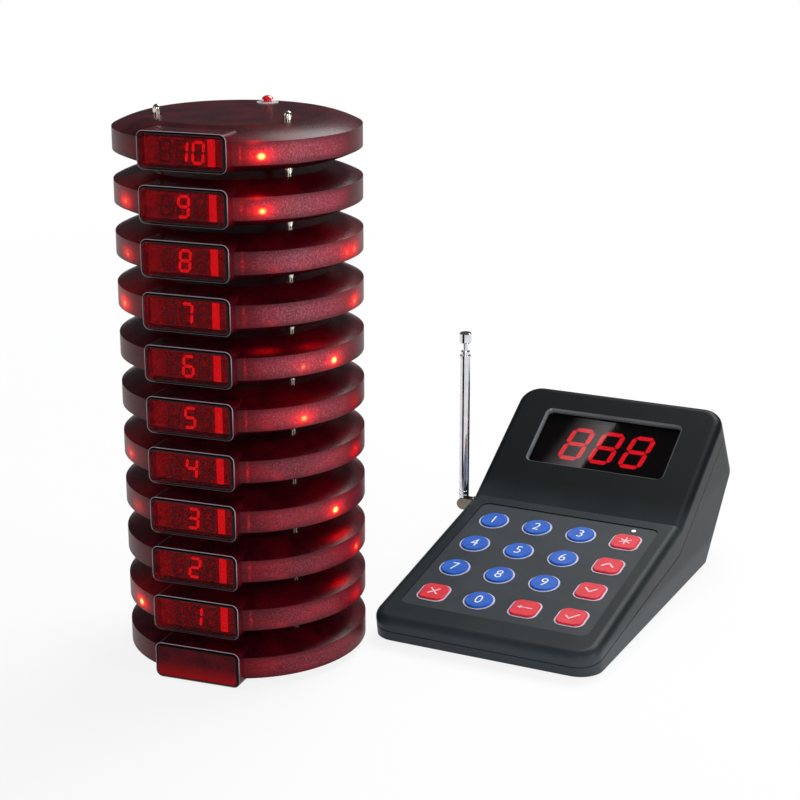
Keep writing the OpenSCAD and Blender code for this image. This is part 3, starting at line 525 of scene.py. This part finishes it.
def solid_sizes(mesh):
    """For each face, the size in millimetres of the solid that it belongs to."""
    first_at = {}
    same = [first_at.setdefault(tuple(round(c, 7) for c in v.co), v.index) for v in mesh.vertices]
    parent = list(range(len(mesh.vertices)))

    def root(vertex):
        while parent[vertex] != vertex:
            parent[vertex] = parent[parent[vertex]]
            vertex = parent[vertex]
        return vertex

    for face in mesh.polygons:
        joined = root(same[face.vertices[0]])
        for vertex in face.vertices[1:]:
            parent[root(same[vertex])] = joined
    solids = [root(same[face.vertices[0]]) for face in mesh.polygons]
    boxes = {}
    for face, solid in zip(mesh.polygons, solids):
        for vertex in face.vertices:
            place = mesh.vertices[vertex].co * PER_METRE
            low, high = boxes.setdefault(solid, (place.copy(), place.copy()))
            for i in range(3):
                low[i] = min(low[i], place[i])
                high[i] = max(high[i], place[i])
    return [boxes[solid][1] - boxes[solid][0] for solid in solids]


# ---- Making new pieces ----

def placed(name, mesh, matrix, material, body, slot):
    """Makes a piece from a mesh in millimetres, which the matrix puts in its place."""
    mesh.transform(Matrix.Scale(MM, 4) @ matrix)
    mesh.materials.clear()
    mesh.materials.append(material)
    made = bpy.data.objects.new(name, mesh)
    scene.collection.objects.link(made)
    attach(made, body)


def to_mesh(shape, name):
    mesh = bpy.data.meshes.new(name)
    shape.to_mesh(mesh)
    shape.free()
    return mesh


def wall(shape, low, high):
    """Faces between two loops that have as many points."""
    for i in range(len(low)):
        j = (i + 1) % len(low)
        shape.faces.new([low[i], low[j], high[j], high[i]])


def circle(radius, count):
    angles = [2 * math.pi * i / count for i in range(count)]
    return [(radius * math.cos(a), radius * math.sin(a)) for a in angles]


def rounded(w, h, r, steps=6):
    """The outline of a rectangle with round corners."""
    points = []
    corners = ((w / 2 - r, h / 2 - r), (r - w / 2, h / 2 - r), (r - w / 2, r - h / 2), (w / 2 - r, r - h / 2))
    for quarter, (x, y) in enumerate(corners):
        for i in range(steps + 1):
            a = math.radians(90 * quarter + 90 * i / steps)
            points.append((x + r * math.cos(a), y + r * math.sin(a)))
    return points


def prism(name, outlines, thick, matrix, material, body, slot):
    """Flat shapes pushed out by thick along their own Z."""
    shape = bmesh.new()
    for outline in outlines:
        low = [shape.verts.new((x, y, 0)) for x, y in outline]
        high = [shape.verts.new((x, y, thick)) for x, y in outline]
        shape.faces.new(list(reversed(low)))
        shape.faces.new(high)
        wall(shape, low, high)
    bmesh.ops.recalc_face_normals(shape, faces=shape.faces)
    placed(name, to_mesh(shape, name), matrix, material, body, slot)


def screw_head(shape, place, radius, thick):
    """A round head with a cross recess. Its seen face is at the place, and looks along the place's own Z."""
    arm, half = radius * 0.52, radius * 0.13
    cross = [(arm, -half), (arm, half), (half, half), (half, arm), (-half, arm), (-half, half), (-arm, half),
             (-arm, -half), (-half, -half), (-half, -arm), (half, -arm), (half, -half)]

    def ring(points, z):
        return [shape.verts.new(place @ Vector((x, y, z))) for x, y in points]

    profile = ((radius, -thick), (radius, -0.3 * radius), (radius * 0.93, -0.1 * radius), (radius * 0.76, 0))
    rims = [ring(circle(r, 28), z) for r, z in profile]
    recess_top, recess_floor = ring(cross, 0), ring(cross, -0.35 * radius)
    for low, high in list(zip(rims, rims[1:])) + [(recess_top, recess_floor)]:
        wall(shape, low, high)
    shape.faces.new(list(reversed(rims[0])))
    shape.faces.new(recess_floor)
    edges = [shape.edges.get(ends)
             for loop in (rims[-1], recess_top)
             for ends in zip(loop, loop[1:] + loop[:1])]
    bmesh.ops.triangle_fill(shape, edges=edges, use_beauty=True)


def screws(name, places, radius, thick, body, slot):
    shape = bmesh.new()
    for place in places:
        screw_head(shape, place, radius, thick)
    bmesh.ops.recalc_face_normals(shape, faces=shape.faces)
    placed(name, to_mesh(shape, name), Matrix.Identity(4), SCREW, body, slot)


def pin(name, matrix, body, slot, radius=1.0, length=7.6, count=24):
    """A socket's round contact pin with a domed end, along the matrix's own Z."""
    dome = [math.radians(15 * i) for i in range(6)]
    profile = [(radius, 0)] + [(radius * math.cos(a), length - radius + radius * math.sin(a)) for a in dome]
    shape = bmesh.new()
    rims = [[shape.verts.new((x, y, z)) for x, y in circle(r, count)] for r, z in profile]
    tip = shape.verts.new((0, 0, length))
    for low, high in zip(rims, rims[1:]):
        wall(shape, low, high)
    for a, b in zip(rims[-1], rims[-1][1:] + rims[-1][:1]):
        shape.faces.new([a, b, tip])
    shape.faces.new(list(reversed(rims[0])))
    mesh = to_mesh(shape, name)
    for face in mesh.polygons:
        face.use_smooth = True
    placed(name, mesh, matrix, NICKEL, body, slot)


# ---- Seven-bar digits, key signs and numerals ----

BARS = "abcdefg"
BARS_OF = {
    "0": "abcdef", "1": "bc", "2": "abged", "3": "abgcd", "4": "fgbc", "5": "afgcd", "6": "afgedc",
    "7": "abc", "8": "abcdefg", "9": "abcdfg", " ": "",
}


def bar_outline(letter, w, h, t, gap, slant):
    """The outline of one bar of a digit w by h with bars t wide, centred on the digit."""
    across, run = w - t, (h - t) / 2

    def pointed(length):
        end = length / 2 - gap
        return [(-end, 0), (-end + t / 2, t / 2), (end - t / 2, t / 2), (end, 0), (end - t / 2, -t / 2),
                (-end + t / 2, -t / 2)]

    flat = pointed(across)
    upright = [(y, x + run / 2) for x, y in pointed(run)]
    outline, dx, dy = {
        "a": (flat, 0, run), "g": (flat, 0, 0), "d": (flat, 0, -run),
        "b": (upright, across / 2, 0), "f": (upright, -across / 2, 0),
        "c": (upright, across / 2, -run), "e": (upright, -across / 2, -run),
    }[letter]
    return [(x + dx + (y + dy) * slant, y + dy) for x, y in outline]


def digits(text, centres, lit=True, **form):
    """The outlines of the lit or the unlit bars of a text, with the middles of its digits at the centres."""
    return [[(x + centre, y) for x, y in bar_outline(letter, **form)]
            for character, centre in zip(text, centres)
            for letter in BARS if (letter in BARS_OF[character]) == lit]


def stroke(points, w):
    """A line of even width through points, one outline per run."""
    outlines = []
    for (ax, ay), (bx, by) in zip(points, points[1:]):
        d = Vector((bx - ax, by - ay)).normalized() * w / 2
        e = Vector((-d.y, d.x))
        outlines.append([
            (ax - d.x + e.x, ay - d.y + e.y), (ax - d.x - e.x, ay - d.y - e.y),
            (bx + d.x - e.x, by + d.y - e.y), (bx + d.x + e.x, by + d.y + e.y)])
    return outlines


SIGNS = {
    "key_up": stroke([(-2.6, -1.3), (0, 1.5), (2.6, -1.3)], 0.75),
    "key_down": stroke([(-2.6, 1.3), (0, -1.5), (2.6, 1.3)], 0.75),
    "key_back": stroke([(-3.2, 0), (3.4, 0)], 0.5) + [[(-3.9, 0), (-1.7, 1.1), (-1.7, -1.1)]],
    "key_cancel": stroke([(-2, -2), (2, 2)], 0.7) + stroke([(-2, 2), (2, -2)], 0.7),
    "key_enter": stroke([(-2.6, -0.2), (-0.7, -2), (2.8, 2)], 0.7),
    "key_function": (
        stroke([(0, -2.6), (0, 2.6)], 0.6) + stroke([(-2.3, -1.3), (2.3, 1.3)], 0.6)
        + stroke([(-2.3, 1.3), (2.3, -1.3)], 0.6)),
}


NUMERAL_SIZE, NUMERAL_THICK, NUMERAL_THINNER, NUMERAL_CONDENSED = 8.9, 0.02, 0.06, 0.86


def numeral(character, name, matrix, body, slot):
    """A printed numeral, a little condensed."""
    text = bpy.data.curves.new(name, "FONT")
    text.body = character
    text.size = NUMERAL_SIZE
    text.align_x = "CENTER"
    text.align_y = "CENTER"
    text.extrude = NUMERAL_THICK
    text.offset = -NUMERAL_THINNER
    text.resolution_u = 6
    source = bpy.data.objects.new(name + "_curve", text)
    scene.collection.objects.link(source)
    bpy.context.view_layer.update()
    mesh = bpy.data.meshes.new_from_object(source.evaluated_get(bpy.context.evaluated_depsgraph_get()))
    bpy.data.objects.remove(source)
    low = Vector((min(v.co[i] for v in mesh.vertices) for i in range(2)))
    high = Vector((max(v.co[i] for v in mesh.vertices) for i in range(2)))
    middle = (low + high) / 2
    condensed = Matrix.Diagonal((NUMERAL_CONDENSED, 1, 1, 1))
    mesh.transform(condensed @ shift(-middle.x, -middle.y, 0))
    placed(name, mesh, matrix, LEGEND_WHITE, body, slot)


# ---- Pagers and base ----

# For each pager, the lamps seen through its rim: azimuth, strength, and strength of the yellow core.
GLOWS = {
    1: [(-37, 1.1, 4.0), (89, 0.4, 0.0)],
    2: [(89, 0.8, 0.5)],
    3: [(71, 1.0, 5.0), (-37, 0.3, 0.0)],
    4: [(89, 0.6, 0.0), (-43, 0.5, 0.2)],
    5: [(53, 1.1, 1.2), (89, 0.2, 0.0)],
    6: [(71, 1.1, 5.0), (53, 0.35, 0.3)],
    7: [(-43, 1.3, 0.8), (89, 1.0, 0.5)],
    8: [(-37, 0.6, 0.2), (89, 0.7, 0.3), (82, 0.7, 0.2)],
    9: [(35, 1.0, 2.2), (-37, 0.9, 0.3)],
    10: [(35, 1.1, 5.0)],
}

# Fainter patches of the lamps' light, painted on a pager's slopes and band: azimuth, height, half size across
# and up, strength.
LEAKS = {
    1: [(80, 15.5, 7, 0.9, 0.5), (40, 6, 3, 1, 0.12)],
    2: [(80, 15.4, 8, 0.9, 0.6), (40, 6, 3, 1, 0.12), (58, 6, 3, 1, 0.1)],
    3: [(62, 2.6, 8, 1.0, 0.3), (38, 6, 2, 1, 0.12)],
    4: [(40, 6, 2.5, 1, 0.16), (56, 6, 3, 1, 0.1)],
    5: [(36, 6.2, 2.5, 1, 0.18), (70, 3, 8, 1, 0.2)],
    6: [(36, 15.6, 5, 0.8, 0.35), (60, 15.4, 6, 0.8, 0.25)],
    7: [(72, 2.6, 9, 1.0, 0.45), (38, 6, 2.5, 1, 0.15)],
    8: [(70, 2.4, 9, 1.1, 0.6), (40, 5.8, 2.5, 1, 0.2), (54, 5.8, 2.5, 1, 0.14), (-40, 2.6, 5, 1, 0.35)],
    9: [(70, 2.6, 9, 1.0, 0.55), (33, 13.6, 3.4, 0.8, 0.6), (-40, 2.6, 4, 1, 0.3)],
    10: [(32, 13.7, 3, 0.8, 0.5)],
}

# How far the flat pieces on the displays and keys are raised.
BAR_THICK, LIT_THICK, UNLIT_THICK, TX_LIT_THICK, PRINT_THICK = 0.06, 0.05, 0.04, 0.08, 0.03

PAGER_DIGITS = dict(centres=(-7.7, -0.5, 6.7), w=5.7, h=9.6, t=1.25, gap=0.16, slant=0.08)
LIGHT_BAR = dict(w=3.3, h=11, r=0.3)
LIGHT_BAR_X, LIGHT_BAR_Y = 12.5, 0.2


def cover_faces(level):
    """Chooses between the smoked plastic, the window's front and inner side, the button's collar and the
    bezel."""
    def choose(p, normal):
        beside = abs(p.x)
        if p.y < WINDOW_Y + 0.05 and normal.y < -0.9:
            return 1
        if p.y < WINDOW_Y + WINDOW_BEVEL + 0.15 and beside < WINDOW_W / 2 + 0.1 and -0.9 < normal.y < -0.3:
            return 4
        if p.y < WINDOW_Y + 2 and normal.y > 0.9 and beside < WINDOW_W / 2 - 1.5:
            return 2
        on_top = p.z - pager_z(level) > PAGER_H - 0.02
        if level and on_top and math.hypot(p.x, p.y - BUTTON_Y) < COLLAR_R:
            return 3
        return 0
    return choose


def works_faces(level):
    """Chooses between a pager's lower shell, posts and pads, board, cell and motor, and its display."""
    def choose(size, p, normal):
        if size.x > BOARD_MOST_W:
            return 0
        if size.x < POST_MOST_W:
            return 1
        if size.x < CELL_MOST_W:
            return 3
        if p.y < DISPLAY_BACK_Y and p.z - pager_z(level) > DISPLAY_LOW_Z:
            return 4 if normal.y < -0.9 else 5
        return 2
    return choose


def base_board_faces(size, p, normal):
    """Chooses between the base's board, its posts and its socket."""
    if size.x < BASE_POST_MOST_W:
        return 1
    return 2 if p.z > SOCKET_LOW_Z and p.y > SOCKET_FRONT_Y else 0


def bottom_screws(name, level, body):
    """The four screws in the underside of a pager or of the base."""
    z = pager_z(level) + SCREW_Z if level else SCREW_Z
    angles = [math.radians(angle) for angle in SCREW_ANGLES]
    places = [shift(SCREW_RING_R * math.cos(a), SCREW_RING_R * math.sin(a), z) @ FACE_DOWN for a in angles]
    screws(name, places, SCREW_HEAD_R, SCREW_HEAD_H, body, "burgundy_lower")


def dress_base():
    paint("base_cover", [smoked("burgundy_base"), WINDOW_BLANK, WINDOW_BLANK, COLLAR, BEZEL], cover_faces(0))
    give("base_tub", [UNDERSIDE])
    paint_solids("base_charging_board", [BOARD, NICKEL, DISPLAY_BODY], base_board_faces)


def dress_pager(level):
    pager = f"pager_{level:02d}"
    plastic = smoked(f"burgundy_{level:02d}", (GLOWS[level], LEAKS[level]))
    paint(pager + "_cover", [plastic, WINDOW, WINDOW_INSIDE, COLLAR, BEZEL], cover_faces(level))
    give(pager + "_button", [BUTTON])
    works = pager + "_lower_shell_and_board"
    paint_solids(works, [UNDERSIDE, NICKEL, BOARD, CELL, DISPLAY_FACE, DISPLAY_BODY], works_faces(level))

    body_and_slot = (BODY_OF[works], "display_works")
    face = shift(0, DISPLAY_Y, pager_z(level) + DISPLAY_Z) @ TO_FRONT
    bar_place = face @ shift(LIGHT_BAR_X, LIGHT_BAR_Y, 0)
    text = f" {level} " if level < 10 else f" {level}"
    lit, unlit = digits(text, **PAGER_DIGITS), digits(text, lit=False, **PAGER_DIGITS)
    prism(pager + "_digits_lit", lit, LIT_THICK, face, LIT, *body_and_slot)
    prism(pager + "_digits_unlit", unlit, UNLIT_THICK, face, UNLIT, *body_and_slot)
    prism(pager + "_light_bar", [rounded(**LIGHT_BAR)], BAR_THICK, bar_place, BAR, *body_and_slot)
    bottom_screws(pager + "_screws", level, BODY_OF[works])


dress_base()
for level in range(1, PAGERS + 1):
    dress_pager(level)
bottom_screws("base_screws", 0, "base")
pin("base_socket_pin", shift(0, PIN_Y, PIN_Z) @ TO_BACK, "base", "charging_board")


# ---- Transmitter ----

KEYS = [
    ["key_1", "key_2", "key_3", "key_function"],
    ["key_4", "key_5", "key_6", "key_up"],
    ["key_7", "key_8", "key_9", "key_down"],
    ["key_cancel", "key_0", "key_back", "key_enter"],
]
TX_DIGITS = dict(centres=(-15.2, 0.8, 16.8), w=12.2, h=21.5, t=2.4, gap=0.32, slant=0.15)
MASK = dict(w=71, h=34.6, r=2)
TX_SCREWS_X, TX_SCREWS_Y, TX_SCREWS_Z = (-36, 36), (24, 100), 4.4
TX_SCREW_HEAD_R, TX_SCREW_HEAD_H = 2.5, 1.5
TX_SOCKET = TRANSMITTER @ shift(0, 187.42, 48.65) @ turn(HEAD_SLOPE, "X")
TX_PIN_DEPTH = 3.1
TO_HEAD = HEAD.inverted()
TO_KEYPAD = KEYPAD.inverted()


def upper_shell_faces(p, normal):
    """1 on the walls and the bevel of the display's opening, which get a paler grey as a painted highlight.
    """
    q = TO_HEAD @ p
    within = abs(q.x) < OPENING_W / 2 and abs(q.y - DISPLAY_MIDDLE_Y) < OPENING_H / 2
    return 1 if within and -OPENING_DEPTH < q.z < -0.02 else 0


def board_faces(p, normal):
    """1 on the status light, 2 on the socket, 0 on the board and its switches."""
    q = TO_KEYPAD @ p
    if math.hypot(q.x - STATUS_X, q.y - STATUS_Y) < STATUS_R and q.z > STATUS_LOW:
        return 1
    return 2 if q.y > SOCKET_BEYOND_Y else 0


def key_faces(p, normal):
    """0 on a key's crown, 1 on its rim, 2 on its side and below the panel."""
    height = (TO_KEYPAD @ p).z
    if height > KEY_CROWN_LOW:
        return 0
    return 1 if height > KEY_RIM_LOW else 2


def dress_transmitter():
    paint("transmitter_upper_shell", [HOUSING, OPENING_HIGHLIGHT], upper_shell_faces)
    paint("transmitter_circuit_board", [BOARD, STATUS, DISPLAY_BODY], board_faces)
    plain_nodes = {
        "transmitter_lower_shell": HOUSING_LOWER, "keypad_panel": PANEL, "display_window": LENS,
        "display_module": DISPLAY_BLACK, "transmitter_feet": RUBBER, "antenna_swivel": ELBOW,
        "antenna_outer_tube": CHROME, "antenna_middle_tube": CHROME, "antenna_tip_rod": CHROME,
    }
    for name, material in plain_nodes.items():
        give(name, [material])


def dress_key(name, row, column):
    is_red = name in SIGNS
    paint(name, [KEY_RED if is_red else KEY_BLUE, KEY_RIM, KEY_SIDE], key_faces)
    top = KEYPAD @ shift((column - 1.5) * KEY_STEP_X, KEYS_MIDDLE_Y + (1.5 - row) * KEY_STEP_Y, KEY_TOP)
    if is_red:
        prism(name + "_sign", SIGNS[name], PRINT_THICK, top, LEGEND_PINK, BODY_OF[name], "red_key")
    else:
        numeral(name[-1], name + "_numeral", top, BODY_OF[name], "blue_key")


def add_transmitter_pieces():
    """The display's mask and digits, the screws and the socket's pin."""
    face = HEAD @ shift(0, DISPLAY_MIDDLE_Y, -DISPLAY_DEPTH)
    body_and_slot = (BODY_OF["display_module"], "display_works")
    prism("transmitter_display_mask", [rounded(**MASK)], PRINT_THICK, face, DISPLAY_BLACK, *body_and_slot)
    prism("transmitter_digits_lit", digits("888", **TX_DIGITS), TX_LIT_THICK, face, TX_LIT, *body_and_slot)
    places = [TRANSMITTER @ shift(x, y, TX_SCREWS_Z) @ FACE_DOWN for x in TX_SCREWS_X for y in TX_SCREWS_Y]
    screws("transmitter_screws", places, TX_SCREW_HEAD_R, TX_SCREW_HEAD_H, "transmitter", "housing_lower")
    pin_place = TX_SOCKET @ shift(0, -TX_PIN_DEPTH, 0) @ TO_BACK
    pin("transmitter_socket_pin", pin_place, "transmitter", "circuit_board")


dress_transmitter()
for row, names in enumerate(KEYS):
    for column, name in enumerate(names):
        dress_key(name, row, column)
add_transmitter_pieces()


# ---- Camera ----

# Where the camera stands, from the stack's foot, and where it looks, in metres and degrees. The focal length
# is given in pixels of the photograph's frame.
CAMERA_AWAY, CAMERA_HEIGHT, CAMERA_AZIMUTH = 0.813, 0.350, 25.1
CAMERA_TURN, CAMERA_DOWN = -4.8, 16.4
FOCAL_PX, FRAME_PX, SENSOR = 1934, 800, 36


def add_camera():
    azimuth = math.radians(CAMERA_AZIMUTH)
    heading, down = azimuth + math.radians(CAMERA_TURN), math.radians(CAMERA_DOWN)
    look = Vector((-math.sin(heading) * math.cos(down), math.cos(heading) * math.cos(down), -math.sin(down)))
    camera = bpy.data.objects.new("camera", bpy.data.cameras.new("camera"))
    camera.data.sensor_width = SENSOR
    camera.data.lens = FOCAL_PX / FRAME_PX * SENSOR
    camera.data.clip_start, camera.data.clip_end = 0.05, 50
    camera.location = (CAMERA_AWAY * math.sin(azimuth), -CAMERA_AWAY * math.cos(azimuth), CAMERA_HEIGHT)
    camera.rotation_euler = look.to_track_quat("-Z", "Y").to_euler()
    scene.collection.objects.link(camera)
    scene.camera = camera


# ---- Floor ----

FLOOR_HALF, FLOOR_Z = 4, -0.0002


def floor_material():
    """A pale floor that is seen as white, the more so far away, with the object's shadow kept."""
    s = Shader("floor_pale")
    colour = s.blend(s.noise(220, 3, 0.6), (0.82, 0.82, 0.82, 1), (0.86, 0.86, 0.86, 1))
    diffuse = s.node("BsdfDiffuse", {"Color": colour}).outputs[0]
    path = s.node("LightPath").outputs
    seen = s.maths("MAXIMUM", path["Is Camera Ray"], path["Is Glossy Ray"])
    seen = s.maths("MAXIMUM", seen, path["Is Transmission Ray"])
    away = s.number("DISTANCE", s.at, (60, 60, 0))
    white = s.times(seen, s.step(away, 250, 1100, 0.85, 1.0))
    return s.finish(s.share(white, diffuse, s.emission((1, 1, 1, 1), 1.0)))


def add_floor():
    signs = ((-1, -1), (1, -1), (1, 1), (-1, 1))
    mesh = bpy.data.meshes.new("floor")
    mesh.from_pydata([(x * FLOOR_HALF, y * FLOOR_HALF, FLOOR_Z) for x, y in signs], [], [(0, 1, 2, 3)])
    mesh.materials.append(floor_material())
    floor = bpy.data.objects.new("floor", mesh)
    scene.collection.objects.link(floor)


# ---- Lamps and world ----

def soft_light(name, place, aim, width, height, power):
    lamp = bpy.data.lights.new(name, "AREA")
    lamp.shape = "RECTANGLE"
    lamp.size, lamp.size_y = width, height
    lamp.energy = power
    made = bpy.data.objects.new(name, lamp)
    made.location = place
    made.rotation_euler = (Vector(aim) - Vector(place)).to_track_quat("-Z", "Y").to_euler()
    scene.collection.objects.link(made)
    return made


def add_card():
    """A narrow lamp that shows in the display's window, with a slanted edge, and fades out to one side."""
    card = soft_light("light_card", (-0.325, 0.37, 1.3), (-0.325, 0.37, 0.0), 0.045, 0.5, 0.3)
    card.rotation_euler.z = math.radians(-36)
    card.data.use_nodes = True
    n = Nodes(card.data.node_tree)
    across = n.node("SeparateXYZ", {0: n.node("NewGeometry").outputs["Parametric"]}).outputs[0]
    n.tree.links.new(across, n.tree.nodes["Emission"].inputs["Strength"])


def add_world():
    """White to the camera and through glass, a dim pale blue in reflections, and soft light otherwise."""
    world = bpy.data.worlds.new("world")
    scene.world = world
    world.use_nodes = True
    world.node_tree.nodes.clear()
    n = Nodes(world.node_tree)
    path = n.node("LightPath").outputs

    def background(colour, strength):
        return n.node("Background", {0: colour, 1: strength}).outputs[0]

    seen = n.maths("MAXIMUM", path["Is Camera Ray"], path["Is Transmission Ray"])
    unseen = n.share(
        path["Is Glossy Ray"], background((0.92, 0.94, 1, 1), 0.3), background((0.9, 0.93, 1, 1), 0.09))
    n.node("OutputWorld", {0: n.share(seen, unseen, background((1, 1, 1, 1), 1))})


add_camera()
add_floor()
soft_light("light_top", (0.3, 0.8, 1.15), (0.05, 0.06, 0.05), 0.9, 0.7, 17)
soft_light("light_front", (0.55, -1.25, 0.55), (0.08, 0.0, 0.1), 0.5, 0.5, 5.0)
soft_light("light_right", (1.1, -0.2, 0.3), (0.0, 0.0, 0.12), 0.2, 0.6, 4.2)
soft_light("light_left", (-1.0, -0.7, 0.5), (0.0, 0.0, 0.1), 0.4, 0.8, 2.4)
add_card()
add_world()
scene.view_settings.view_transform = "Standard"
